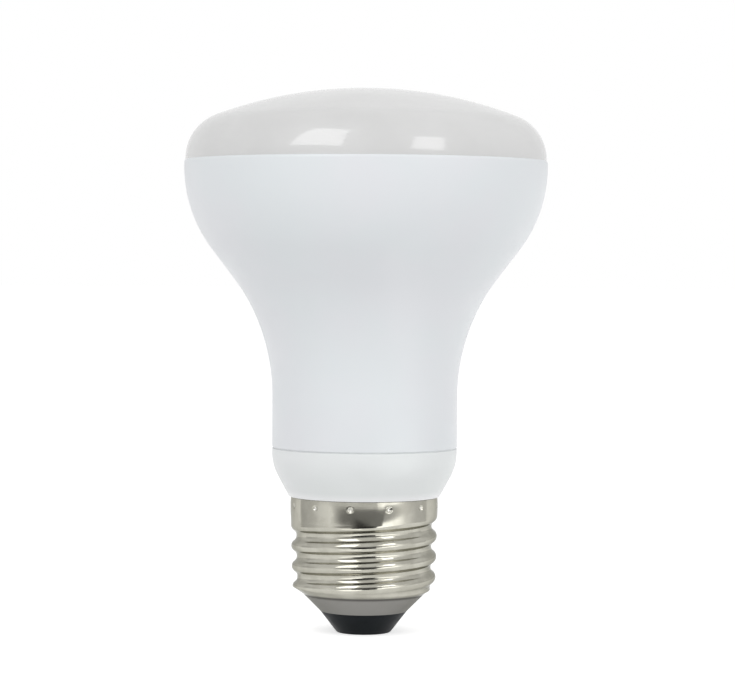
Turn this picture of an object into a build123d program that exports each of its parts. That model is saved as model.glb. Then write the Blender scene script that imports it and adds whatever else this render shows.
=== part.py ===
from build123d import *
import os
from math import asin, atan, atan2, cos, degrees, hypot, radians, tan

# A reflector bulb on a medium screw cap, in millimetres.
# It stands upright on the foot of its cap: the origin is the middle of that foot and +Z runs up to the lens.

# Overall
overall_height = 96.0        # foot of the cap to the crown of the lens
rim_diameter = 64.0          # widest part, where lens and housing meet
neck_diameter = 32.7         # straight neck of the housing, and the top of the collar
fit_clearance = 0.1          # round every spigot, plug and rivet

# Lens
lens_height = 12.7           # seam to crown
crown_radius = 75.0          # spherical middle of the lens
lens_edge = 0.25             # upright edge left above the seam
lens_spigot_depth = 2.5      # what plugs into the housing
rim_wall = 3.0               # housing wall round that spigot
lens_step = 0.2              # how far the lens stands back from the rim of the housing
rim_edge_height = 0.5        # rounded edge of that rim, up to the lens

# Housing
bowl_corner_drop = 9.2       # seam down to where the rim wall would meet the flank
bowl_radius = 24.0           # rounds that corner
neck_corner_rise = 20.7      # lower seam up to where the flank would meet the neck
neck_radius = 35.0           # rounds that corner
neck_straight = 2.0          # straight neck left at least above the lower seam
flank_share = 0.48           # share of the flank that each of these two roundings may take at most

# Collar
collar_height = 8.7          # top of the screw shell to the seam with the housing
collar_corner_drop = 3.2     # seam down to where the collar starts to taper
collar_corner_radius = 9.0   # rounds that corner
lip_overhang = 0.3           # how far the collar's bottom edge stands out from the shell
lip_edge_radius = 0.25       # rounded bottom edge
seam_gap = 0.2               # height of the shadow line below the housing
seam_depth = 0.25            # how deep that line runs in
neck_wall = 2.5              # housing wall round the collar's upper spigot
neck_spigot_height = 6.0     # upper spigot, in the housing
land_height = 2.4            # short land that carries the band of the shell
cap_spigot_gap = 1.4         # lower spigot, in the shell, ends this far above the foot of the thread

# Screw shell, rolled from sheet
cap_height = 24.1            # foot of the cap to the top of the shell
band_height = 3.6            # plain band above the thread
thread_diameter = 26.1       # over the band and the upper crests
thread_taper = 0.2           # how far the crests draw in from there to the foot of the thread
thread_depth = 0.95
thread_pitch = 25.4 / 7
crest_land = 0.5             # flat left on top of a crest
crest_bevel_width = 0.4      # sloping edge on each side of it, along the axis
crest_bevel_depth = 0.2      # and towards the axis
root_land = 0.7              # flat at the bottom of the groove
groove_end_drop = 5.2        # top of the shell down to where the groove starts to fade, on the +X side
groove_turns = 4
fade_turn = 0.28             # share of a turn in which the groove rises out of the band
shell_wall = 0.3
cone_half_angle = 45.0       # rolled-in foot of the shell
cone_top_diameter = 21.5     # where the lowest turn meets the cone
thread_foot_rise = 1.35      # from there up to the full thread diameter
stake_count = 12             # marks that lock the shell to the collar
stake_radius = 0.6
stake_depth = 0.28
stake_drop = 1.4             # below the top of the shell
stake_start_angle = 19.4     # first stake, from +X

# Insulator and centre contact
insulator_height = 3.8       # part that shows below the shell
insulator_seat = 2.7         # part that the cone of the shell holds
insulator_diameter = 15.4    # where it meets the shell
foot_diameter = 9.5
foot_edge_radius = 0.4
contact_diameter = 6.8
contact_thickness = 0.6
rivet_diameter = 2.4
contact_dimple_radius = 2.0
contact_dimple_depth = 0.2

# Radii and heights that follow
rim_radius = rim_diameter / 2
lens_radius = rim_radius - lens_step
neck_outer_radius = neck_diameter / 2
thread_radius = thread_diameter / 2
root_radius = thread_radius - thread_depth
collar_seam_z = cap_height + collar_height
lens_seam_z = overall_height - lens_height
lens_spigot_radius = rim_radius - rim_wall
neck_spigot_radius = neck_outer_radius - neck_wall
cap_spigot_radius = root_radius - shell_wall - fit_clearance
land_radius = thread_radius - shell_wall - fit_clearance
cone_slope = tan(radians(cone_half_angle))
cone_wall = shell_wall / cos(radians(cone_half_angle))
cone_top_radius = cone_top_diameter / 2
cone_end_radius = insulator_diameter / 2
cone_top_z = insulator_height + (cone_top_radius - cone_end_radius) / cone_slope
thread_foot_z = cone_top_z + thread_foot_rise
band_floor_z = cap_height - band_height
stake_z = cap_height - stake_drop
stake_centre_radius = thread_radius + stake_radius - stake_depth


def cut_stakes(extra):
    """Cut the ring of round stake marks, larger by extra, into the part that is being built."""
    with PolarLocations(stake_centre_radius, stake_count, start_angle=stake_start_angle):
        with Locations((0, 0, stake_z)):
            Sphere(stake_radius + extra, mode=Mode.SUBTRACT)


# Lens: a spherical crown that rolls over a tangent shoulder to its edge, with a spigot below the seam
crown_centre_z = overall_height - crown_radius
shoulder_centre_z = lens_seam_z + lens_edge
centre_rise = shoulder_centre_z - crown_centre_z
shoulder_radius = (crown_radius + lens_radius - centre_rise**2 / (crown_radius - lens_radius)) / 2
shoulder_centre_radius = lens_radius - shoulder_radius
crown_angle = degrees(asin(shoulder_centre_radius / (crown_radius - shoulder_radius)))

with BuildPart() as lens:
    with BuildSketch(Plane.XZ):
        with BuildLine():
            crown = CenterArc((0, crown_centre_z), crown_radius, 90, -crown_angle)
            shoulder_centre = (shoulder_centre_radius, shoulder_centre_z)
            shoulder = CenterArc(shoulder_centre, shoulder_radius, 90 - crown_angle, crown_angle - 90)
            Polyline(
                shoulder @ 1,
                (lens_radius, lens_seam_z),
                (lens_spigot_radius, lens_seam_z),
                (lens_spigot_radius, lens_seam_z - lens_spigot_depth),
                (0, lens_seam_z - lens_spigot_depth),
                crown @ 0,
            )
        make_face()
    revolve(axis=Axis.Z)

# Housing: rounded rim, conical flank and neck, with both corners rounded as far as the walls allow
bowl_corner_z = lens_seam_z - bowl_corner_drop
neck_corner_z = collar_seam_z + neck_corner_rise
flank_run = rim_radius - neck_outer_radius
flank_turn = atan2(flank_run, bowl_corner_z - neck_corner_z)
flank_length = hypot(flank_run, bowl_corner_z - neck_corner_z)
bowl_room = min(bowl_corner_drop - 2 * rim_edge_height, flank_length * flank_share)
neck_room = min(neck_corner_rise - neck_straight, flank_length * flank_share)
bowl_fillet = min(bowl_radius, bowl_room / tan(flank_turn / 2))
neck_fillet = min(neck_radius, neck_room / tan(flank_turn / 2))
lens_bore_radius = lens_spigot_radius + fit_clearance
lens_bore_floor = lens_seam_z - lens_spigot_depth - fit_clearance
neck_bore_radius = neck_spigot_radius + fit_clearance
neck_bore_top = collar_seam_z + neck_spigot_height + fit_clearance

with BuildPart() as housing:
    with BuildSketch(Plane.XZ):
        with BuildLine():
            rim_foot = (rim_radius, lens_seam_z - rim_edge_height)
            rim_edge = TangentArc(rim_foot, (lens_radius, lens_seam_z), tangent=(0, 1))
            FilletPolyline(
                rim_edge @ 0,
                (rim_radius, bowl_corner_z),
                (neck_outer_radius, neck_corner_z),
                (neck_outer_radius, collar_seam_z),
                radius=[bowl_fillet, neck_fillet],
            )
            Polyline(
                (neck_outer_radius, collar_seam_z),
                (neck_bore_radius, collar_seam_z),
                (neck_bore_radius, neck_bore_top),
                (0, neck_bore_top),
                (0, lens_bore_floor),
                (lens_bore_radius, lens_bore_floor),
                (lens_bore_radius, lens_seam_z),
                rim_edge @ 1,
            )
        make_face()
    revolve(axis=Axis.Z)

# Collar: shadow line, rounded taper and bottom lip, a spigot in the neck above and a spigot in the shell below
lip_radius = thread_radius + lip_overhang
collar_corner_z = collar_seam_z - collar_corner_drop
taper_turn = atan2(neck_outer_radius - lip_radius, collar_corner_z - cap_height)
taper_length = hypot(neck_outer_radius - lip_radius, collar_corner_z - cap_height)
taper_room = min(collar_corner_drop - 2 * seam_gap, taper_length - 2 * lip_edge_radius)
taper_fillet = min(collar_corner_radius, taper_room / tan(taper_turn / 2))
cap_spigot_floor = thread_foot_z + cap_spigot_gap
shadow_z = collar_seam_z - seam_gap
shadow_radius = neck_outer_radius - seam_depth

with BuildPart() as collar:
    with BuildSketch(Plane.XZ):
        with BuildLine():
            FilletPolyline(
                (neck_outer_radius, shadow_z),
                (neck_outer_radius, collar_corner_z),
                (lip_radius, cap_height),
                (land_radius, cap_height),
                radius=[taper_fillet, lip_edge_radius],
            )
            Polyline(
                (land_radius, cap_height),
                (land_radius, cap_height - land_height),
                (cap_spigot_radius, cap_height - land_height),
                (cap_spigot_radius, cap_spigot_floor),
                (0, cap_spigot_floor),
                (0, collar_seam_z + neck_spigot_height),
                (neck_spigot_radius, collar_seam_z + neck_spigot_height),
                (neck_spigot_radius, collar_seam_z),
                (shadow_radius, collar_seam_z),
                (shadow_radius, shadow_z),
                (neck_outer_radius, shadow_z),
            )
        make_face()
    revolve(axis=Axis.Z)
    cut_stakes(shell_wall + fit_clearance)

# Screw shell: an outer and an inner form with the same rolled thread, one wall apart
half_groove = thread_pitch / 2 - crest_land / 2
groove_top_z = cap_height - groove_end_drop
groove_bottom_z = groove_top_z - groove_turns * thread_pitch
fade_height = thread_pitch * fade_turn
tool_reach = thread_depth + 2 * shell_wall
fade_angle = atan((tool_reach - shell_wall) / fade_height)
foot_turn = atan2(thread_radius - thread_taper - cone_top_radius, thread_foot_rise)


def groove_section(start, lead, inset):
    """Section of the groove across its lead, at a start on the root circle, moved inwards by inset."""
    upper_side = [
        (-inset, root_land / 2),
        (thread_depth - crest_bevel_depth - inset, half_groove - crest_bevel_width),
        (thread_depth - inset, half_groove),
        (tool_reach, half_groove),
    ]
    lower_side = [(out, -up) for out, up in reversed(upper_side)]
    with BuildSketch(Plane(origin=start, x_dir=(1, 0, 0), z_dir=lead)) as section:
        with BuildLine():
            Polyline(*upper_side, *lower_side, close=True)
        make_face()
    return section.sketch


def rolled_form(inset):
    """Solid form of the shell with its thread and stake marks, inset from the outer face."""
    with BuildPart() as form:
        with BuildSketch(Plane.XZ):
            with BuildLine():
                cone_inset = inset / cos(radians(cone_half_angle))
                foot_inset = inset * tan(foot_turn / 2)
                Polyline(
                    (0, cap_height),
                    (thread_radius - inset, cap_height),
                    (thread_radius - inset, band_floor_z),
                    (thread_radius - thread_taper - inset, thread_foot_z + foot_inset),
                    (cone_top_radius - cone_inset, cone_top_z),
                    (cone_end_radius - cone_inset, insulator_height),
                    (0, insulator_height),
                    close=True,
                )
            make_face()
        revolve(axis=Axis.Z)
        groove = Helix(
            thread_pitch, groove_turns * thread_pitch, root_radius, (0, 0, groove_bottom_z), mode=Mode.PRIVATE
        )
        fade = Helix(
            thread_pitch / cos(fade_angle),
            fade_height,
            root_radius,
            (0, 0, groove_top_z),
            cone_angle=degrees(fade_angle),
            mode=Mode.PRIVATE,
        )
        for path in (groove, fade):
            section = groove_section(path @ 0, groove % 0, inset)
            sweep(sections=section, path=path, is_frenet=True, mode=Mode.SUBTRACT)
        cut_stakes(inset)
    return form.part


outer_form = rolled_form(0)
inner_form = rolled_form(shell_wall)
with BuildPart() as screw_shell:
    add(outer_form)
    add(inner_form, mode=Mode.SUBTRACT)

# Insulator: a cone plug that the rolled-in foot of the shell holds, with a counterbore for the contact
contact_radius = contact_diameter / 2
rivet_radius = rivet_diameter / 2
insulator_top_z = insulator_height + insulator_seat
seat_radius = cone_end_radius - cone_wall - fit_clearance

with BuildPart() as insulator:
    with BuildSketch(Plane.XZ):
        with BuildLine():
            FilletPolyline(
                (contact_radius + fit_clearance, 0),
                (foot_diameter / 2, 0),
                (cone_end_radius, insulator_height),
                radius=foot_edge_radius,
            )
            Polyline(
                (cone_end_radius, insulator_height),
                (seat_radius, insulator_height),
                (seat_radius + insulator_seat * cone_slope, insulator_top_z),
                (rivet_radius + fit_clearance, insulator_top_z),
                (rivet_radius + fit_clearance, contact_thickness),
                (contact_radius + fit_clearance, contact_thickness),
                (contact_radius + fit_clearance, 0),
            )
        make_face()
    revolve(axis=Axis.Z)

# Centre contact: a flush disc with a shallow punch mark and a rivet shank up through the insulator
with BuildPart() as centre_contact:
    with BuildSketch(Plane.XZ):
        with BuildLine():
            Polyline(
                (0, 0),
                (contact_radius, 0),
                (contact_radius, contact_thickness),
                (rivet_radius, contact_thickness),
                (rivet_radius, insulator_top_z),
                (0, insulator_top_z),
                close=True,
            )
        make_face()
    revolve(axis=Axis.Z)
    with Locations((0, 0, contact_dimple_depth - contact_dimple_radius)):
        Sphere(contact_dimple_radius, mode=Mode.SUBTRACT)

lens.part.label = "lens"
housing.part.label = "housing"
collar.part.label = "collar"
screw_shell.part.label = "screw_shell"
insulator.part.label = "insulator"
centre_contact.part.label = "centre_contact"

os.makedirs("parts", exist_ok=True)
export_step(lens.part, "parts/lens.step")
export_step(housing.part, "parts/housing.step")
export_step(collar.part, "parts/collar.step")
export_step(screw_shell.part, "parts/screw_shell.step")
export_step(insulator.part, "parts/insulator.step")
export_step(centre_contact.part, "parts/centre_contact.step")
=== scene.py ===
"""Looks of a reflector bulb on a medium screw cap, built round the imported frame.

Radii and heights are millimetres from and along the bulb's axis. They become metres when a mesh is made.
"""

import logging
import math
from abc import ABC, abstractmethod
from collections.abc import Sequence
from dataclasses import dataclass, field
from enum import Enum

import bpy
import numpy as np
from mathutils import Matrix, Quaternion, Vector

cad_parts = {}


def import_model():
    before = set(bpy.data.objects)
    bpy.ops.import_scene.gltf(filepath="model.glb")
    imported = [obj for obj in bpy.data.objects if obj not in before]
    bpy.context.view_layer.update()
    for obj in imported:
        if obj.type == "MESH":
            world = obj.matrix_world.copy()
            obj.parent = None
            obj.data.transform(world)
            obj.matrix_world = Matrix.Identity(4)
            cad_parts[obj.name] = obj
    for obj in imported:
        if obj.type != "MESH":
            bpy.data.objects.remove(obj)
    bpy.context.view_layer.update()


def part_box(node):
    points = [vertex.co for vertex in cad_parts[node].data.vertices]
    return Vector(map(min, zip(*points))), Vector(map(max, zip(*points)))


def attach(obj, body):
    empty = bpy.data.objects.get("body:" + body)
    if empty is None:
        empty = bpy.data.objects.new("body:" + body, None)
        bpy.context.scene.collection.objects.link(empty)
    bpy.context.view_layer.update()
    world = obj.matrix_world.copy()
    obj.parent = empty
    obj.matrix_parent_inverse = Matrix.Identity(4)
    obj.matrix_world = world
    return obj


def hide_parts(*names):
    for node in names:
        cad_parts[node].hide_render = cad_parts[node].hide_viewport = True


LOG = logging.getLogger("reflector_bulb")
MM = 0.001  # one millimetre in metres
BODY = "root"
ARC_SPACING = 0.35  # longest step along an arc, in millimetres
ARC_LEAST = 5  # fewest steps of an arc
SHARP_ANGLE = math.radians(35)
WHITE = (1.0, 1.0, 1.0, 1.0)

Point = tuple[float, float]
Colour = tuple[float, float, float]

NOISE_RANGE: Point = (0.3, 0.7)  # where most values of a noise lie
WHOLE_RANGE: Point = (0.0, 1.0)
COARSE_LAYERS = 3.0  # finer layers in a noise
GRAIN_LAYERS = 2.0  # finer layers in a fine grain


class Node(Enum):
    """Nodes of the frame that the pieces stand for."""

    LENS = "lens"
    HOUSING = "housing"
    COLLAR = "collar"
    SCREW_SHELL = "screw_shell"
    INSULATOR = "insulator"
    CENTRE_CONTACT = "centre_contact"


class Slot(Enum):
    """Names of the material slots that the pieces carry."""

    FROSTED_LENS = "frosted_lens"
    WHITE_PLASTIC = "white_plastic"
    NICKEL_PLATE = "nickel_plate"
    BLACK_INSULATOR = "black_insulator"
    CONTACT_METAL = "contact_metal"


class RayKind(Enum):
    """Rays that see the white studio as it is, by their names on the light path."""

    CAMERA = "Is Camera Ray"
    GLOSSY = "Is Glossy Ray"
    TRANSMISSION = "Is Transmission Ray"


@dataclass(frozen=True)
class NodeBox:
    """Reach of one node of the frame, in millimetres."""

    radius: float
    low: float
    high: float

    @classmethod
    def of(cls, node: Node) -> "NodeBox":
        """Measure a node.

        Args:
            node: the node of the frame.

        Returns:
            Its largest radius and its lowest and highest point.
        """
        lowest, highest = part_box(node.value)
        return cls(highest.x / MM, lowest.z / MM, highest.z / MM)


@dataclass(frozen=True)
class Corner:
    """A corner of a turned outline and the radius that rounds it."""

    radius: float
    height: float
    rounding: float = 0.0


def arc(centre: Point, radius: float, start: float, end: float) -> list[Point]:
    """Sample an arc.

    Args:
        centre: its centre.
        radius: its radius.
        start: angle of its first point, in radians.
        end: angle of its last point, in radians.

    Returns:
        Points from start to end, close enough to look round.
    """
    steps = max(ARC_LEAST, math.ceil(abs(end - start) * radius / ARC_SPACING))
    return [
        (centre[0] + radius * math.cos(angle), centre[1] + radius * math.sin(angle))
        for angle in np.linspace(start, end, steps + 1)
    ]


def rounded(corners: Sequence[Corner]) -> list[Point]:
    """Run an outline through corners and round them.

    Args:
        corners: the corners in order. The first and the last stay sharp.

    Returns:
        Points of the outline, with an arc at each rounded corner.
    """
    points = [(corners[0].radius, corners[0].height)]
    for before, here, after in zip(corners, corners[1:], corners[2:]):
        corner = Vector((here.radius, here.height))
        if not here.rounding:
            points.append(tuple(corner))
            continue
        back = (Vector((before.radius, before.height)) - corner).normalized()
        onward = (Vector((after.radius, after.height)) - corner).normalized()
        half = back.angle(onward) / 2
        centre = corner + (back + onward).normalized() * here.rounding / math.sin(half)
        first = corner + back * here.rounding / math.tan(half) - centre
        last = corner + onward * here.rounding / math.tan(half) - centre
        start = math.atan2(first.y, first.x)
        turn = math.remainder(math.atan2(last.y, last.x) - start, math.tau)
        points += arc(tuple(centre), here.rounding, start, start + turn)
    points.append((corners[-1].radius, corners[-1].height))
    return points


def mesh_from_rings(name: str, rings: np.ndarray, poles: Sequence[Point]) -> bpy.types.Mesh:
    """Skin rings of points to a closed mesh.

    Args:
        name: the mesh's name.
        rings: points in millimetres, as rings by points by three, in order along the outline.
        poles: the two points on the axis that close the ends, or none where the last ring meets the first.

    Returns:
        A smooth mesh in metres, with sharp edges at sharp corners.
    """
    count, around = rings.shape[:2]
    points = rings.reshape(-1, 3)
    index = np.arange(count * around).reshape(count, around)
    lower = index if not poles else index[:-1]
    upper = np.roll(index, -1, axis=0) if not poles else index[1:]
    faces = np.stack(
        [lower, np.roll(lower, -1, axis=1), np.roll(upper, -1, axis=1), upper], axis=-1
    ).reshape(-1, 4).tolist()
    if poles:
        points = np.vstack([points, [(0, 0, poles[0][1])], [(0, 0, poles[1][1])]])
        bottom, top = count * around, count * around + 1
        faces += [[bottom, b, a] for a, b in zip(index[0], np.roll(index[0], -1))]
        faces += [[top, a, b] for a, b in zip(index[-1], np.roll(index[-1], -1))]
    mesh = bpy.data.meshes.new(name)
    mesh.from_pydata((points * MM).tolist(), [], faces)
    mesh.update()
    mesh.shade_smooth()
    mesh.set_sharp_from_angle(angle=SHARP_ANGLE)
    return mesh


def turned_mesh(name: str, outline: Sequence[Point], segments: int) -> bpy.types.Mesh:
    """Turn an outline round the axis.

    Args:
        name: the mesh's name.
        outline: points from the lowest end of the axis round the outside to the highest, or a closed ring.
        segments: how many faces go round.

    Returns:
        The closed mesh.
    """
    on_axis = outline[0][0] == 0
    turned = np.array(outline[1:-1] if on_axis else outline)
    angles = np.linspace(0, math.tau, segments, endpoint=False)
    rings = np.empty((len(turned), segments, 3))
    rings[..., 0] = turned[:, :1] * np.cos(angles)
    rings[..., 1] = turned[:, :1] * np.sin(angles)
    rings[..., 2] = turned[:, 1:]
    return mesh_from_rings(name, rings, (outline[0], outline[-1]) if on_axis else ())


class NodeGraph:
    """The nodes of one material or world, wired by short calls."""

    def __init__(self, owner: bpy.types.Material | bpy.types.World) -> None:
        """Start an empty graph.

        Args:
            owner: the material or world that it belongs to.
        """
        owner.use_nodes = True
        self.tree = owner.node_tree
        self.tree.nodes.clear()

    def add(self, kind: str, settings: dict | None = None, **sockets: object) -> bpy.types.Node:
        """Add a node.

        Args:
            kind: the node's type, without the ShaderNode that all of them start with.
            settings: attributes of the node itself.
            sockets: inputs by name, with _ for a space, each a value or a socket to link from.

        Returns:
            The new node.
        """
        node = self.tree.nodes.new("ShaderNode" + kind)
        for name, value in (settings or {}).items():
            setattr(node, name, value)
        for name, value in sockets.items():
            self.feed(node.inputs[name.replace("_", " ")], value)
        return node

    def feed(self, target: bpy.types.NodeSocket, value: object) -> None:
        """Link an input to a socket, or set it to a value.

        Args:
            target: the input.
            value: an output socket or a plain value.
        """
        if isinstance(value, bpy.types.NodeSocket):
            self.tree.links.new(value, target)
        else:
            target.default_value = value

    def math(self, operation: str, first: object, second: object = 0.0) -> bpy.types.NodeSocket:
        """Work out a number from two others.

        Args:
            operation: the node's name of the operation.
            first: a value or a socket.
            second: a value or a socket.

        Returns:
            The result's socket.
        """
        node = self.add("Math", {"operation": operation})
        self.feed(node.inputs[0], first)
        self.feed(node.inputs[1], second)
        return node.outputs[0]

    def hypot(self, first: object, second: object) -> bpy.types.NodeSocket:
        """Work out the distance that two lengths at right angles make.

        Args:
            first: a socket.
            second: a socket.

        Returns:
            The distance's socket.
        """
        squares = (self.math("MULTIPLY", length, length) for length in (first, second))
        return self.math("SQRT", self.math("ADD", *squares))

    def place(self) -> bpy.types.NodeSocket:
        """Place on the object, in metres."""
        return self.add("TexCoord").outputs["Object"]

    def along(self, axis: str) -> bpy.types.NodeSocket:
        """Place on the object along X, Y or Z, in metres."""
        return self.add("SeparateXYZ", Vector=self.place()).outputs[axis]

    def noise(self, size: float | Sequence[float], layers: float = COARSE_LAYERS) -> bpy.types.NodeSocket:
        """Add an uneven pattern that is fixed to the object.

        Args:
            size: length of its features, or their lengths along X, Y and Z, in millimetres.
            layers: how many finer layers it has.

        Returns:
            Its value, from 0 to 1.
        """
        lengths = (size,) * 3 if isinstance(size, float) else size
        scale = tuple(1 / (length * MM) for length in lengths)
        mapped = self.add("Mapping", Vector=self.place(), Scale=scale)
        return self.add("TexNoise", Vector=mapped.outputs[0], Scale=1.0, Detail=layers).outputs[0]

    def ramp(self, value: object, given: Point, result: Point = WHOLE_RANGE) -> bpy.types.NodeSocket:
        """Map a number smoothly from one range to another.

        Args:
            value: a socket.
            given: the lower and the upper input.
            result: what they give.

        Returns:
            The result's socket.
        """
        node = self.add("MapRange", {"interpolation_type": "SMOOTHSTEP"}, Value=value)
        for end, low_or_high, becomes in zip(("Min", "Max"), given, result):
            node.inputs[f"From {end}"].default_value = low_or_high
            node.inputs[f"To {end}"].default_value = becomes
        return node.outputs[0]

    def mix(self, share: object, first: object, second: object) -> bpy.types.NodeSocket:
        """Mix two colours.

        Args:
            share: how much of the second, from 0 to 1.
            first: a colour or a socket.
            second: a colour or a socket.

        Returns:
            The mixed colour's socket.
        """
        node = self.add("Mix", {"data_type": "RGBA"})
        self.feed(node.inputs["Factor"], share)
        for name, value in (("A", first), ("B", second)):
            target = next(s for s in node.inputs if s.name == name and s.type == "RGBA")
            self.feed(target, value if isinstance(value, bpy.types.NodeSocket) else (*value, 1.0))
        return next(s for s in node.outputs if s.type == "RGBA")

    def bump(self, height: object, depth: float, strength: float) -> bpy.types.NodeSocket:
        """Raise the surface a little.

        Args:
            height: a socket from 0 to 1.
            depth: how far that reaches, in millimetres.
            strength: how much of it shows.

        Returns:
            The normal's socket.
        """
        return self.add("Bump", Height=height, Distance=depth * MM, Strength=strength).outputs[0]

    def surface(self, settings: dict[str, object]) -> None:
        """Finish a material with one principled surface.

        Args:
            settings: its inputs by name, each a value or a socket.
        """
        shader = self.add("BsdfPrincipled")
        for name, value in settings.items():
            self.feed(shader.inputs[name], value)
        self.end(shader)

    def end(self, shader: bpy.types.Node, output: str = "OutputMaterial") -> None:
        """Lead a shader to the graph's output.

        Args:
            shader: the last shader.
            output: the output's type, without the ShaderNode that all of them start with.
        """
        self.feed(self.add(output).inputs["Surface"], shader.outputs[0])


class Finish(ABC):
    """A surface finish that can dress any number of pieces."""

    name: str

    @abstractmethod
    def wire(self, graph: NodeGraph) -> None:
        """Wire the finish's nodes.

        Args:
            graph: the empty graph of its material.
        """

    def material(self) -> bpy.types.Material:
        """Make the material, or give the one that is made already.

        Returns:
            The material with the finish's name.
        """
        made = bpy.data.materials.get(self.name)
        if made is None:
            made = bpy.data.materials.new(self.name)
            self.wire(NodeGraph(made))
        return made


@dataclass(frozen=True)
class FrostedDiffuser(Finish):
    """Frosted translucent plastic with a soft sheen, a little greyer than the housing."""

    name: str = "frosted_diffuser"
    thin_frost_and_lip_highlight: Colour = (0.625, 0.625, 0.623)
    thick: Colour = (0.665, 0.665, 0.663)
    cloud_size: float = 14.0
    roughness: Point = (0.5, 0.62)
    grain_size: float = 0.22
    grain_depth: float = 0.012
    grain_strength: float = 0.35
    scatter: float = 0.12
    scatter_depth: float = 2.0
    coat: float = 1.0
    coat_roughness: float = 0.1
    coat_index: float = 1.56

    def wire(self, graph: NodeGraph) -> None:
        """Wire clouded frosting with a fine grain under a soft sheen.

        Args:
            graph: the empty graph of its material.
        """
        cloud = graph.noise(self.cloud_size)
        grain = graph.noise(self.grain_size, GRAIN_LAYERS)
        graph.surface({
            "Base Color": graph.mix(graph.ramp(cloud, NOISE_RANGE), self.thin_frost_and_lip_highlight, self.thick),
            "Roughness": graph.ramp(grain, NOISE_RANGE, self.roughness),
            "Normal": graph.bump(grain, self.grain_depth, self.grain_strength),
            "Subsurface Weight": self.scatter,
            "Subsurface Radius": (1.0, 1.0, 1.0),
            "Subsurface Scale": self.scatter_depth * MM,
            "Coat Weight": self.coat,
            "Coat Roughness": self.coat_roughness,
            "Coat IOR": self.coat_index,
        })


@dataclass(frozen=True)
class SatinMoulding(Finish):
    """Satin white moulded plastic, slightly cool."""

    name: str = "satin_white_moulding"
    cool: Colour = (0.77, 0.805, 0.825)
    warm: Colour = (0.785, 0.80, 0.828)
    drift_size: float = 18.0
    patch_size: float = 5.0
    roughness: Point = (0.4, 0.48)
    grain_size: float = 0.16
    grain_depth: float = 0.006
    grain_strength: float = 0.3
    specular: float = 0.3
    coat: float = 0.25
    coat_roughness: float = 0.25

    def tone(self, graph: NodeGraph, white: bpy.types.NodeSocket) -> bpy.types.NodeSocket:
        """Leave the white as it is."""
        return white

    def wire(self, graph: NodeGraph) -> None:
        """Wire a slow drift of tone, uneven gloss and a fine moulded grain.

        Args:
            graph: the empty graph of its material.
        """
        drift = graph.noise(self.drift_size)
        patch = graph.noise(self.patch_size)
        grain = graph.noise(self.grain_size, GRAIN_LAYERS)
        white = graph.mix(graph.ramp(drift, NOISE_RANGE), self.cool, self.warm)
        graph.surface({
            "Base Color": self.tone(graph, white),
            "Roughness": graph.ramp(patch, NOISE_RANGE, self.roughness),
            "Normal": graph.bump(grain, self.grain_depth, self.grain_strength),
            "Specular IOR Level": self.specular,
            "Coat Weight": self.coat,
            "Coat Roughness": self.coat_roughness,
        })


@dataclass(frozen=True)
class CollarMoulding(SatinMoulding):
    """The same plastic in a more neutral white, with a painted highlight that makes it paler towards its
    lip.
    """

    name: str = "collar_moulding"
    cool: Colour = (0.795, 0.823, 0.821)
    warm: Colour = (0.805, 0.82, 0.828)
    # painted highlight: the paler white that the collar gets towards its lip
    thin_frost_and_lip_highlight: Colour = (0.92, 0.93, 0.94)
    lip_height: float = 24.1
    lip_reach: float = 1.5

    def tone(self, graph: NodeGraph, white: bpy.types.NodeSocket) -> bpy.types.NodeSocket:
        """Paint a highlight that makes the white paler towards the lip.

        Args:
            graph: the graph of its material.
            white: the plain colour.

        Returns:
            The colour with the painted highlight on the lip.
        """
        reach = (self.lip_height * MM, (self.lip_height + self.lip_reach) * MM)
        # painted highlight: 1 at the lip, fading to 0 over lip_reach above it
        lip_highlight_share = graph.ramp(graph.along("Z"), reach, (1.0, 0.0))
        return graph.mix(lip_highlight_share, white, self.thin_frost_and_lip_highlight)


@dataclass(frozen=True)
class StakeRing:
    """Round stake marks in a ring round the screw shell's band, in millimetres."""

    count: int = 12
    start: float = math.radians(19.4)
    level: float = 22.7
    ring_radius: float = 13.05
    radius: float = 0.6
    depth: float = 0.28

    @property
    def step(self) -> float:
        """Angle from one mark to the next."""
        return math.tau / self.count

    def pressed(self, angle: np.ndarray, height: np.ndarray) -> np.ndarray:
        """Depth of the marks, which a round punch leaves.

        Args:
            angle: angles round the axis, from +X.
            height: heights.

        Returns:
            How far the surface is pressed in.
        """
        around = (angle - self.start + self.step / 2) % self.step - self.step / 2
        away = np.hypot(around * self.ring_radius, height - self.level)
        ball = np.sqrt(np.clip(self.radius**2 - away**2, 0, None))
        return np.clip(ball - (self.radius - self.depth), 0, None)

    def mask(self, graph: NodeGraph) -> bpy.types.NodeSocket:
        """Mark the pressed metal in a finish.

        Args:
            graph: the graph of the finish.

        Returns:
            A socket with 1 in a mark and 0 between the marks.
        """
        angle = graph.math("ARCTAN2", graph.along("Y"), graph.along("X"))
        around = graph.math("PINGPONG", graph.math("SUBTRACT", angle, self.start), self.step / 2)
        across = graph.math("MULTIPLY", around, self.ring_radius * MM)
        above = graph.math("SUBTRACT", graph.along("Z"), self.level * MM)
        return graph.ramp(graph.hypot(across, above), (0.0, self.radius * MM), (1.0, 0.0))


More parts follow.
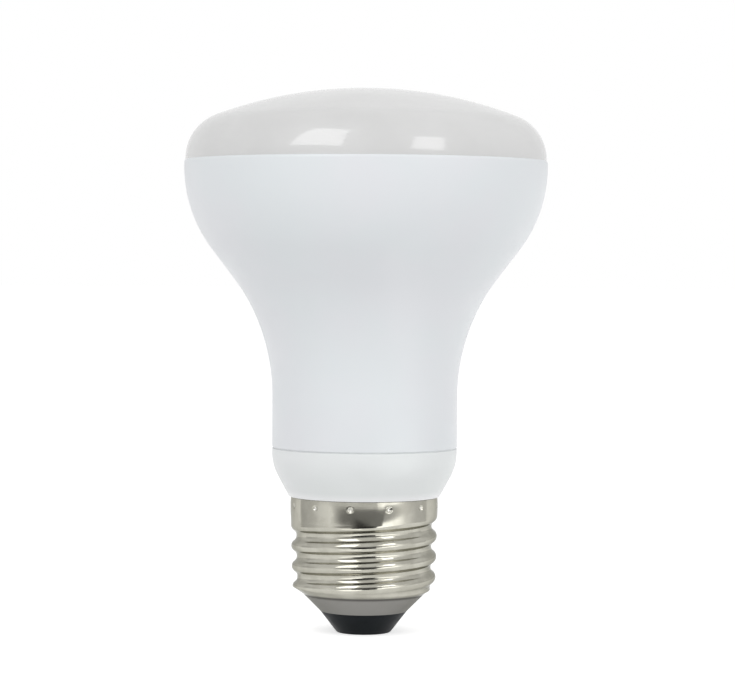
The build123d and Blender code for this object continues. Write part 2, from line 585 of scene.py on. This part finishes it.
@dataclass(frozen=True)
class NickelPlating(Finish):
    """Warm nickel plate with rolling lines, and a rougher cone where the sheet was drawn in, painted darker
    as shade.
    """

    name: str = "nickel_plating"
    bright: Colour = (0.45, 0.44, 0.385)
    dim: Colour = (0.38, 0.37, 0.32)
    edge_tint: Colour = (0.55, 0.55, 0.53)
    smudge_size: float = 3.5
    smudge_range: Point = (0.35, 0.65)
    roughness: Point = (0.10, 0.17)
    line_size: tuple[float, float, float] = (22.0, 22.0, 0.16)
    line_depth: float = 0.006
    line_strength: float = 0.35
    # painted shade: the cone's metal is coloured darker than the plate, besides its higher roughness
    dull_and_shaded: Colour = (0.25, 0.245, 0.232)
    cone_height: float = 6.85
    cone_edge: float = 0.2
    cone_roughness: float = 0.26
    # painted shade: a dark line along the crease where the thread meets the cone
    painted_crease_shade: Colour = (0.10, 0.097, 0.092)
    crease_width: float = 0.45
    # painted highlight: paler metal in the stake marks
    stake_highlight: Colour = (0.64, 0.63, 0.59)
    stakes: StakeRing = StakeRing()
    stake_roughness: float = 0.3

    def wire(self, graph: NodeGraph) -> None:
        """Wire rolling lines, smudges, stake marks with a painted highlight, the rougher cone with painted
        shade, and a painted shade line in the crease above it.

        Args:
            graph: the empty graph of its material.
        """
        lines = graph.noise(self.line_size)
        smudge = graph.noise(self.smudge_size)
        height = graph.along("Z")
        cone_reach = ((self.cone_height - self.cone_edge) * MM, (self.cone_height + self.cone_edge) * MM)
        # painted shade: 1 on the cone, 0 on the thread above it
        on_cone = graph.ramp(height, cone_reach, (1.0, 0.0))
        from_crease = graph.math("ABSOLUTE", graph.math("SUBTRACT", height, self.cone_height * MM))
        # painted shade along the crease, strongest at its middle
        crease_shade_share = graph.ramp(from_crease, (0.0, self.crease_width * MM), (1.0, 0.0))
        on_stake = self.stakes.mask(graph)
        plate = graph.mix(graph.ramp(smudge, self.smudge_range), self.bright, self.dim)
        # painted highlight in the stake marks
        staked = graph.mix(on_stake, plate, self.stake_highlight)
        uneven = graph.ramp(smudge, NOISE_RANGE, self.roughness)
        cone_adds = graph.math("MULTIPLY", on_cone, self.cone_roughness)
        stakes_add = graph.math("MULTIPLY", on_stake, self.stake_roughness)
        graph.surface({
            "Base Color": graph.mix(crease_shade_share, graph.mix(on_cone, staked, self.dull_and_shaded), self.painted_crease_shade),
            "Metallic": 1.0,
            "Specular Tint": (*self.edge_tint, 1.0),
            "Roughness": graph.math("ADD", uneven, graph.math("ADD", cone_adds, stakes_add)),
            "Normal": graph.bump(lines, self.line_depth, self.line_strength),
        })


@dataclass(frozen=True)
class BlackMoulding(Finish):
    """Black moulded insulating material with a low gloss."""

    name: str = "black_insulating_moulding"
    deep: Colour = (0.0065, 0.009, 0.011)
    worn: Colour = (0.0095, 0.012, 0.0145)
    mottle_size: float = 1.6
    roughness: Point = (0.34, 0.46)
    grain_size: float = 0.2
    grain_depth: float = 0.01
    grain_strength: float = 0.35
    specular: float = 0.08

    def wire(self, graph: NodeGraph) -> None:
        """Wire a mottled black with a fine grain.

        Args:
            graph: the empty graph of its material.
        """
        mottle = graph.noise(self.mottle_size)
        grain = graph.noise(self.grain_size, GRAIN_LAYERS)
        graph.surface({
            "Base Color": graph.mix(graph.ramp(mottle, NOISE_RANGE), self.deep, self.worn),
            "Roughness": graph.ramp(mottle, NOISE_RANGE, self.roughness),
            "Normal": graph.bump(grain, self.grain_depth, self.grain_strength),
            "Specular IOR Level": self.specular,
        })


@dataclass(frozen=True)
class TinPlating(Finish):
    """Tinned contact metal with turning marks and touch marks."""

    name: str = "tin_plating"
    bright: Colour = (0.66, 0.64, 0.60)
    touched: Colour = (0.50, 0.47, 0.42)
    touch_size: float = 1.2
    touch_range: Point = (0.4, 0.65)
    roughness: Point = (0.24, 0.42)
    mark_width: float = 0.14
    mark_depth: float = 0.006
    mark_strength: float = 0.3

    def wire(self, graph: NodeGraph) -> None:
        """Wire rings round the axis under uneven touch marks.

        Args:
            graph: the empty graph of its material.
        """
        from_axis = graph.hypot(graph.along("X"), graph.along("Y"))
        rings = graph.math("SINE", graph.math("MULTIPLY", from_axis, math.tau / (self.mark_width * MM)))
        touch = graph.noise(self.touch_size)
        graph.surface({
            "Base Color": graph.mix(graph.ramp(touch, self.touch_range), self.bright, self.touched),
            "Metallic": 1.0,
            "Roughness": graph.ramp(touch, NOISE_RANGE, self.roughness),
            "Normal": graph.bump(rings, self.mark_depth, self.mark_strength),
        })


@dataclass(frozen=True)
class Seats:
    """Sizes that a piece shares with its neighbours, in millimetres."""

    clearance: float = 0.1
    rim_wall: float = 3.0
    neck_wall: float = 2.5
    sheet: float = 0.3
    thread_depth: float = 0.95
    cone_end_radius: float = 7.7
    contact_thickness: float = 0.6


class Piece(ABC):
    """A sub-assembly of the bulb that stands for one node of the frame."""

    name: str
    node: Node
    slot: Slot
    finish: Finish
    seats: Seats

    @abstractmethod
    def mesh(self) -> bpy.types.Mesh:
        """Build the piece's mesh in place.

        Returns:
            The closed mesh.
        """

    def dress(self) -> bpy.types.Object:
        """Build the piece, give it its finish and let it stand for its node.

        Returns:
            The finished object.
        """
        built = bpy.data.objects.new(self.name, self.mesh())
        bpy.context.scene.collection.objects.link(built)
        built.data.materials.append(self.finish.material())
        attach(built, BODY)
        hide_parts(self.node.value)
        return built


@dataclass
class Lens(Piece):
    """Frosted lens: a shallow crown that rolls over a shoulder to the seam, with a spigot below it."""

    seam: float
    rim_radius: float
    name: str = "lens_cover"
    node: Node = Node.LENS
    slot: Slot = Slot.FROSTED_LENS
    finish: Finish = field(default_factory=FrostedDiffuser)
    seats: Seats = Seats()
    crown_radius: float = 75.0
    edge_height: float = 0.25
    segments: int = 256

    def mesh(self) -> bpy.types.Mesh:
        """Turn the lens from its spigot to its crown.

        Returns:
            The lens's mesh.
        """
        box = NodeBox.of(self.node)
        spigot = self.rim_radius - self.seats.rim_wall
        crown_centre = box.high - self.crown_radius
        shoulder_height = self.seam + self.edge_height
        rise = shoulder_height - crown_centre
        gap = self.crown_radius - box.radius
        shoulder = (self.crown_radius + box.radius - rise**2 / gap) / 2
        shoulder_centre = (box.radius - shoulder, shoulder_height)
        meeting = math.acos(shoulder_centre[0] / (self.crown_radius - shoulder))
        below = [(0, box.low), (spigot, box.low), (spigot, self.seam), (box.radius, self.seam)]
        over = arc(shoulder_centre, shoulder, 0, meeting)
        crown = arc((0, crown_centre), self.crown_radius, meeting, math.pi / 2)
        outline = below + over + crown[1:-1] + [(0, box.high)]
        return turned_mesh(self.name, outline, self.segments)


@dataclass
class Housing(Piece):
    """White bowl and neck in one moulding, open at both ends for its neighbours' spigots."""

    lens_radius: float
    name: str = "bowl_and_neck"
    node: Node = Node.HOUSING
    slot: Slot = Slot.WHITE_PLASTIC
    finish: Finish = field(default_factory=SatinMoulding)
    seats: Seats = Seats()
    neck_radius: float = 16.35
    bowl_corner_drop: float = 9.2
    bowl_rounding: float = 24.0
    neck_corner_rise: float = 20.7
    neck_rounding: float = 35.0
    rim_edge_height: float = 0.5
    foot_rounding: float = 0.15
    rim_bore_depth: float = 2.6
    neck_bore_height: float = 6.1
    segments: int = 256

    def mesh(self) -> bpy.types.Mesh:
        """Turn the housing from its lower bore to its upper one.

        Returns:
            The housing's mesh.
        """
        box = NodeBox.of(self.node)
        neck_bore = self.neck_radius - self.seats.neck_wall + self.seats.clearance
        rim_bore = box.radius - self.seats.rim_wall + self.seats.clearance
        step = box.radius - self.lens_radius
        rim_rounding = (step**2 + self.rim_edge_height**2) / (2 * step)
        rim_foot = box.high - self.rim_edge_height
        walls = rounded([
            Corner(0, box.low + self.neck_bore_height),
            Corner(neck_bore, box.low + self.neck_bore_height),
            Corner(neck_bore, box.low),
            Corner(self.neck_radius, box.low, self.foot_rounding),
            Corner(self.neck_radius, box.low + self.neck_corner_rise, self.neck_rounding),
            Corner(box.radius, box.high - self.bowl_corner_drop, self.bowl_rounding),
            Corner(box.radius, rim_foot),
        ])
        rim_end = math.asin(self.rim_edge_height / rim_rounding)
        rim = arc((box.radius - rim_rounding, rim_foot), rim_rounding, 0, rim_end)
        bore_floor = box.high - self.rim_bore_depth
        bore = [(rim_bore, box.high), (rim_bore, bore_floor), (0, bore_floor)]
        return turned_mesh(self.name, walls[:-1] + rim + bore, self.segments)


@dataclass
class Collar(Piece):
    """White collar below the neck: a shadow line, a rounded taper and a lip over the screw shell."""

    seam: float
    shell_top: float
    shell_radius: float
    name: str = "neck_collar"
    node: Node = Node.COLLAR
    slot: Slot = Slot.WHITE_PLASTIC
    finish: Finish = field(default_factory=CollarMoulding)
    seats: Seats = Seats()
    corner_drop: float = 3.2
    corner_rounding: float = 9.0
    lip_overhang: float = 0.3
    lip_rounding: float = 0.25
    shadow_height: float = 0.2
    shadow_depth: float = 0.25
    top_rounding: float = 0.12
    stake_room: float = 0.45
    land_height: float = 2.4
    segments: int = 224

    def mesh(self) -> bpy.types.Mesh:
        """Turn the collar from its lower spigot to its upper one.

        Returns:
            The collar's mesh.
        """
        box = NodeBox.of(self.node)
        shell_bore = self.shell_radius - self.seats.sheet - self.seats.clearance
        land = shell_bore - self.stake_room
        lower_spigot = shell_bore - self.seats.thread_depth
        upper_spigot = box.radius - self.seats.neck_wall
        shadow = self.seam - self.shadow_height
        outline = rounded([
            Corner(0, box.low),
            Corner(lower_spigot, box.low),
            Corner(lower_spigot, self.shell_top - self.land_height),
            Corner(land, self.shell_top - self.land_height),
            Corner(land, self.shell_top),
            Corner(self.shell_radius + self.lip_overhang, self.shell_top, self.lip_rounding),
            Corner(box.radius, self.seam - self.corner_drop, self.corner_rounding),
            Corner(box.radius, shadow, self.top_rounding),
            Corner(box.radius - self.shadow_depth, shadow),
            Corner(box.radius - self.shadow_depth, self.seam),
            Corner(upper_spigot, self.seam),
            Corner(upper_spigot, box.high),
            Corner(0, box.high),
        ])
        return turned_mesh(self.name, outline, self.segments)


@dataclass
class ScrewShell(Piece):
    """Nickel-plated sheet shell: a staked band, a round rolled thread that fades into it, and a cone."""

    name: str = "cap_screw_shell"
    node: Node = Node.SCREW_SHELL
    slot: Slot = Slot.NICKEL_PLATE
    finish: Finish = field(default_factory=NickelPlating)
    seats: Seats = Seats()
    pitch: float = 25.4 / 7
    thread_taper: float = 0.3
    groove_end_drop: float = 5.2
    fade_turn: float = 0.28
    band_height: float = 3.6
    band_bow: float = 0.05
    bow_reach: float = 1.4
    cone_top_radius: float = 10.75
    thread_foot_rise: float = 1.35
    crest_softness: float = 0.12
    top_rounding: float = 0.1
    stakes: StakeRing = StakeRing()
    row_spacing: float = 0.115
    segments: int = 440

    def groove(self, across: np.ndarray) -> np.ndarray:
        """Depth of the rolled groove, of two equal arcs on each side.

        Args:
            across: heights above the groove's middle, up to half a pitch each way.

        Returns:
            How far the surface lies below the crest.
        """
        quarter = self.pitch / 4
        depth = self.seats.thread_depth
        radius = (quarter**2 + (depth / 2) ** 2) / depth
        offset = np.abs(across)
        crest_offset = np.clip(2 * quarter - offset, 0, quarter)
        root_offset = np.clip(offset, 0, quarter)
        crest = radius - np.sqrt(radius**2 - crest_offset**2)
        root = depth - radius + np.sqrt(radius**2 - root_offset**2)
        return np.where(offset > quarter, crest, root)

    def thread(self, box: NodeBox, angle: np.ndarray, height: np.ndarray) -> np.ndarray:
        """Radius of the thread and the band above it.

        Args:
            box: reach of the shell.
            angle: angles round the axis, from +X.
            height: heights.

        Returns:
            Radii, before the foot of the shell is drawn in.
        """
        band_floor = box.high - self.band_height
        foot = self.cone_top(box) + self.thread_foot_rise
        taper = self.thread_taper * np.clip((band_floor - height) / (band_floor - foot), 0, 1) ** 2
        from_middle = 2 * (height - band_floor) / self.band_height - 1
        bow = self.band_bow * np.clip(from_middle, -self.bow_reach, 1) ** 2
        turn = angle / math.tau
        groove_end = box.high - self.groove_end_drop
        turns_up = (height - groove_end) / self.pitch - turn
        nearest = np.round(turns_up)
        past_end = np.clip((turn + nearest) / self.fade_turn, 0, 1)
        share = 1 - past_end**2 * (3 - 2 * past_end)
        return box.radius - taper - bow - share * self.groove((turns_up - nearest) * self.pitch)

    def cone_top(self, box: NodeBox) -> float:
        """Height where the lowest turn meets the 45 degree cone."""
        return box.low + self.cone_top_radius - self.seats.cone_end_radius

    def drawn_in(self, box: NodeBox, height: np.ndarray) -> np.ndarray:
        """Radius that the drawn-in foot leaves: the cone and the slope from it to the thread.

        Args:
            box: reach of the shell.
            height: heights.

        Returns:
            Radii, without bound above the slope.
        """
        above = height - self.cone_top(box)
        slope = (box.radius - self.thread_taper - self.cone_top_radius) / self.thread_foot_rise
        return self.cone_top_radius + np.where(above < 0, above, slope * above)

    def outer_radius(self, box: NodeBox, angle: np.ndarray, height: np.ndarray) -> np.ndarray:
        """Radius of the whole outside.

        Args:
            box: reach of the shell.
            angle: angles round the axis, from +X.
            height: heights.

        Returns:
            Radii with the thread running softly into the foot, the stakes and the rounded top edge.
        """
        rolled = self.thread(box, angle, height)
        foot = self.drawn_in(box, height)
        blend = np.clip(0.5 + (foot - rolled) / (2 * self.crest_softness), 0, 1)
        joined = foot + (rolled - foot) * blend - self.crest_softness * blend * (1 - blend)
        under_top = np.clip(self.top_rounding - (box.high - height), 0, self.top_rounding)
        edge = self.top_rounding - np.sqrt(self.top_rounding**2 - under_top**2)
        return joined - self.stakes.pressed(angle, height) - edge

    def inner_outline(self, box: NodeBox) -> list[Point]:
        """Run the plain inside of the shell from its top edge down to its lip.

        Args:
            box: reach of the shell.

        Returns:
            Points of the inside, in order.
        """
        sheet = self.seats.sheet
        bore = box.radius - self.seats.thread_depth - sheet
        cone_wall = sheet * math.sqrt(2)
        band = box.radius - sheet - self.stakes.depth
        band_floor = box.high - self.band_height
        cone_top = self.cone_top(box)
        return [
            (box.radius - sheet, box.high),
            (band, box.high - sheet),
            (band, band_floor),
            (bore, band_floor - sheet),
            (bore, cone_top + self.thread_foot_rise),
            (self.cone_top_radius - cone_wall, cone_top),
            (self.seats.cone_end_radius - cone_wall, box.low),
        ]

    def mesh(self) -> bpy.types.Mesh:
        """Wrap the outside and the inside of the sheet into one closed skin.

        Returns:
            The shell's mesh.
        """
        box = NodeBox.of(self.node)
        rows = math.ceil((box.high - box.low) / self.row_spacing)
        heights = np.linspace(box.low, box.high, rows + 1)
        angles = np.linspace(0, math.tau, self.segments, endpoint=False)
        angle, height = np.meshgrid(angles, heights)
        outside = self.outer_radius(box, angle, height)
        inside = np.array(self.inner_outline(box))
        radii = np.vstack([outside, np.repeat(inside[:, :1], self.segments, axis=1)])
        levels = np.vstack([height, np.repeat(inside[:, 1:], self.segments, axis=1)])
        rings = np.stack([radii * np.cos(angles), radii * np.sin(angles), levels], axis=-1)
        return mesh_from_rings(self.name, rings, ())


@dataclass
class Insulator(Piece):
    """Black cone that the foot of the shell holds, with a seat for the contact."""

    shell_foot: float
    contact_radius: float
    name: str = "cap_insulator"
    node: Node = Node.INSULATOR
    slot: Slot = Slot.BLACK_INSULATOR
    finish: Finish = field(default_factory=BlackMoulding)
    seats: Seats = Seats()
    seat_inset: float = 0.53
    foot_radius: float = 4.75
    foot_rounding: float = 0.4
    rivet_bore: float = 1.3
    segments: int = 160

    def mesh(self) -> bpy.types.Mesh:
        """Turn the ring from its contact seat round the outside to its rivet hole.

        Returns:
            The insulator's mesh.
        """
        box = NodeBox.of(self.node)
        seat = self.seats.cone_end_radius - self.seat_inset
        contact_seat = self.contact_radius + self.seats.clearance
        contact_top = self.seats.contact_thickness
        outline = rounded([
            Corner(contact_seat, box.low),
            Corner(self.foot_radius, box.low, self.foot_rounding),
            Corner(self.seats.cone_end_radius, self.shell_foot),
            Corner(seat, self.shell_foot),
            Corner(seat + box.high - self.shell_foot, box.high),
            Corner(self.rivet_bore, box.high),
            Corner(self.rivet_bore, contact_top),
            Corner(contact_seat, contact_top),
        ])
        return turned_mesh(self.name, outline, self.segments)


@dataclass
class CentreContact(Piece):
    """Flush contact disc with a shallow punch mark, and its rivet up through the insulator."""

    name: str = "cap_centre_contact"
    node: Node = Node.CENTRE_CONTACT
    slot: Slot = Slot.CONTACT_METAL
    finish: Finish = field(default_factory=TinPlating)
    seats: Seats = Seats()
    edge_rounding: float = 0.12
    rivet_radius: float = 1.2
    dimple_radius: float = 2.0
    dimple_depth: float = 0.2
    segments: int = 120

    def mesh(self) -> bpy.types.Mesh:
        """Turn the contact from its punch mark to the top of its rivet.

        Returns:
            The contact's mesh.
        """
        box = NodeBox.of(self.node)
        disc_top = box.low + self.seats.contact_thickness
        dimple_centre = (0.0, box.low + self.dimple_depth - self.dimple_radius)
        rim_angle = math.acos((self.dimple_radius - self.dimple_depth) / self.dimple_radius)
        dimple = arc(dimple_centre, self.dimple_radius, math.pi / 2, math.pi / 2 - rim_angle)
        body = rounded([
            Corner(*dimple[-1]),
            Corner(box.radius, box.low, self.edge_rounding),
            Corner(box.radius, disc_top),
            Corner(self.rivet_radius, disc_top),
            Corner(self.rivet_radius, box.high),
            Corner(0, box.high),
        ])
        outline = [(0, box.low + self.dimple_depth)] + dimple[1:-1] + body
        return turned_mesh(self.name, outline, self.segments)


@dataclass(frozen=True)
class Softbox:
    """An upright soft lamp beside the camera, with its place as the bulb sees it, in degrees.

    The azimuth is from the front, positive to the right. Low and high are the elevations of its edges.
    """

    name: str
    azimuth: float
    spread: float
    low: float
    high: float
    radiance: float
    lean: float = 0.0
    distance: float = 0.7
    mirrored: bool = True

    def light(self, aim: Vector) -> None:
        """Hang the lamp.

        Args:
            aim: the point that sees it under those angles.
        """
        turn = math.radians(self.azimuth)
        away = Vector((math.sin(turn), -math.cos(turn), 0))
        bottom, top = (self.distance * math.tan(math.radians(edge)) for edge in (self.low, self.high))
        lamp = bpy.data.lights.new(self.name, "AREA")
        lamp.shape = "RECTANGLE"
        lamp.size = 2 * self.distance * math.tan(math.radians(self.spread / 2))
        lamp.size_y = top - bottom
        lamp.energy = self.radiance * math.pi * lamp.size * lamp.size_y
        hung = bpy.data.objects.new(self.name, lamp)
        hung.location = aim + away * self.distance + Vector((0, 0, (bottom + top) / 2))
        leaning = Quaternion(away, math.radians(self.lean))
        hung.rotation_euler = (leaning @ away.to_track_quat("Z", "Y")).to_euler()
        hung.visible_camera = False
        hung.visible_glossy = self.mirrored
        bpy.context.scene.collection.objects.link(hung)
        LOG.info("lamp %s", self.name)


@dataclass(frozen=True)
class Card:
    """An upright card that only reflections see, square to the axis, in millimetres and degrees.

    The azimuth is from the front, positive to the right. Its corners are given across and up, in turn.
    Between the two places of the fade it goes from its left glow to its right glow.
    """

    name: str
    azimuth: float
    distance: float
    corners: tuple[Point, ...]
    left_glow: float
    right_glow: float
    fade: Point = (0.0, 1.0)

    def stand(self) -> None:
        """Put the card up and paint it."""
        mesh = bpy.data.meshes.new(self.name)
        points = [Vector((side, -self.distance, up)) * MM for side, up in self.corners]
        mesh.from_pydata(points, [], [range(len(points))])
        paint = bpy.data.materials.new(self.name)
        graph = NodeGraph(paint)
        start, stop = (place * MM for place in self.fade)
        strength = graph.ramp(graph.along("X"), (start, stop), (self.left_glow, self.right_glow))
        graph.end(graph.add("Emission", Color=WHITE, Strength=strength))
        mesh.materials.append(paint)
        stood = bpy.data.objects.new(self.name, mesh)
        stood.rotation_euler.z = math.radians(self.azimuth)
        stood.visible_camera = False
        stood.visible_diffuse = False
        stood.visible_shadow = False
        bpy.context.scene.collection.objects.link(stood)


@dataclass
class Studio:
    """White studio: a pale floor, soft lamps and the cards that only reflections see."""

    aim: Vector = field(default_factory=lambda: Vector((0, 0, 0.086)))
    floor_size: float = 12.0
    floor_white: float = 0.9
    floor_lift: float = 0.56
    ambient: float = 0.6
    lamps: tuple[Softbox, ...] = (
        Softbox("left_softbox", -31.5, spread=34.0, low=18.0, high=58.0, radiance=2.9, lean=-1.0),
        Softbox("right_softbox", 41.5, spread=21.0, low=10.0, high=38.0, radiance=2.8, lean=-12.0),
        Softbox("fill_softbox", 88.0, spread=34.0, low=2.0, high=42.0, radiance=0.75, mirrored=False),
    )
    cards: tuple[Card, ...] = (
        Card(
            "white_card", azimuth=0.0, distance=40.0, corners=((13, 0), (80, 0), (80, 30), (13, 30)),
            left_glow=2.6, right_glow=1.4, fade=(36, 80),
        ),
        Card(
            "low_card", azimuth=0.0, distance=27.0, corners=((-22, 0), (-1, 0), (-1, 6), (-22, 6)),
            left_glow=1.3, right_glow=2.6, fade=(-22, -12),
        ),
        Card(
            "dim_card", azimuth=0.0, distance=39.9, corners=((19, 14), (90, 14), (90, 23), (21, 23)),
            left_glow=0.6, right_glow=1.3, fade=(20, 65),
        ),
        Card(
            "grey_card", azimuth=0.0, distance=39.8, corners=((-46, 18), (17, 9), (22, 21.6), (-46, 21.6)),
            left_glow=1.35, right_glow=0.3, fade=(-46, -16),
        ),
        Card(
            "shade_card", azimuth=0.0, distance=39.7, corners=((-44, 12), (-10, 12), (-10, 18.5), (-44, 15)),
            left_glow=1.3, right_glow=0.3, fade=(-44, -20),
        ),
        Card(
            "black_card", azimuth=0.0, distance=39.6, corners=((-12, 0), (13, 0), (13, 11), (-12, 18)),
            left_glow=0.3, right_glow=0.05, fade=(-12, -4),
        ),
        Card(
            "left_card", azimuth=-90.0, distance=40.0, corners=((-8, 13), (34, 13), (34, 24), (-8, 24)),
            left_glow=0.78, right_glow=1.25, fade=(-6, 34),
        ),
        Card(
            "right_card", azimuth=90.0, distance=40.0, corners=((-24, 13), (6, 13), (6, 24), (-24, 24)),
            left_glow=1.3, right_glow=0.9, fade=(-24, -8),
        ),
        Card(
            "rear_card", azimuth=180.0, distance=200.0,
            corners=((-250, 85), (250, 85), (250, 400), (-250, 400)), left_glow=0.9, right_glow=0.9,
        ),
    )

    def seen_white(self, graph: NodeGraph) -> bpy.types.NodeSocket:
        """Give 1 on the rays that see the studio as white and 0 on the rest.

        Args:
            graph: the graph that asks.

        Returns:
            The socket with that number.
        """
        path = graph.add("LightPath")
        camera, glossy, through = (path.outputs[kind.value] for kind in RayKind)
        return graph.math("MAXIMUM", camera, graph.math("MAXIMUM", glossy, through))

    def sky(self) -> None:
        """Make the world white to the eye and in reflections, and softer as light."""
        world = bpy.data.worlds.new("studio_white")
        bpy.context.scene.world = world
        graph = NodeGraph(world)
        strength = graph.ramp(self.seen_white(graph), WHOLE_RANGE, (self.ambient, 1.0))
        graph.end(graph.add("Background", Color=WHITE, Strength=strength), "OutputWorld")

    def floor(self) -> None:
        """Lay the floor, which keeps the bulb's shadow."""
        half = self.floor_size / 2
        corners = [(-half, -half, 0), (half, -half, 0), (half, half, 0), (-half, half, 0)]
        mesh = bpy.data.meshes.new("floor")
        mesh.from_pydata(corners, [], [range(len(corners))])
        laid = bpy.data.objects.new("floor", mesh)
        bpy.context.scene.collection.objects.link(laid)
        paint = bpy.data.materials.new("floor_white")
        graph = NodeGraph(paint)
        matt = graph.add("BsdfDiffuse", Color=(*(self.floor_white,) * 3, 1.0))
        lift = graph.math("MULTIPLY", self.seen_white(graph), self.floor_lift)
        glow = graph.add("Emission", Color=WHITE, Strength=lift)
        both = graph.add("AddShader")
        graph.feed(both.inputs[0], matt.outputs[0])
        graph.feed(both.inputs[1], glow.outputs[0])
        graph.end(both)
        mesh.materials.append(paint)

    def build(self) -> None:
        """Set up the sky, the floor, the lamps and the cards."""
        self.sky()
        self.floor()
        for lamp in self.lamps:
            lamp.light(self.aim)
        for card in self.cards:
            card.stand()


@dataclass
class PhotoCamera:
    """Camera at the photograph's viewing angle, in metres."""

    distance: float = 0.490
    eye_height: float = 0.0658
    aim_height: float = 0.0501
    sideways: float = 0.00044
    focal_length: float = 135.9
    lean: float = math.radians(0.33)

    def place(self) -> None:
        """Set up the camera and make it the scene's."""
        lens = bpy.data.cameras.new("photo_camera")
        lens.lens = self.focal_length
        camera = bpy.data.objects.new("photo_camera", lens)
        camera.location = (self.sideways, -self.distance, self.eye_height)
        towards = Vector((0, self.distance, self.aim_height - self.eye_height))
        level = towards.to_track_quat("-Z", "Y")
        camera.rotation_euler = (Quaternion(towards, -self.lean) @ level).to_euler()
        bpy.context.scene.collection.objects.link(camera)
        bpy.context.scene.camera = camera


def main() -> None:
    """Load the frame, build every piece round it and set up the studio."""
    logging.basicConfig(level=logging.INFO, format="%(message)s")
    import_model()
    bpy.context.scene.view_settings.view_transform = "Standard"
    lens = NodeBox.of(Node.LENS)
    housing = NodeBox.of(Node.HOUSING)
    shell = NodeBox.of(Node.SCREW_SHELL)
    contact = NodeBox.of(Node.CENTRE_CONTACT)
    pieces: list[Piece] = [
        Lens(seam=housing.high, rim_radius=housing.radius),
        Housing(lens_radius=lens.radius),
        Collar(seam=housing.low, shell_top=shell.high, shell_radius=shell.radius),
        ScrewShell(),
        Insulator(shell_foot=shell.low, contact_radius=contact.radius),
        CentreContact(),
    ]
    for piece in pieces:
        built = piece.dress()
        LOG.info("%s: %d faces in %s", built.name, len(built.data.polygons), piece.finish.name)
    Studio().build()
    PhotoCamera().place()


if __name__ == "__main__":
    main()
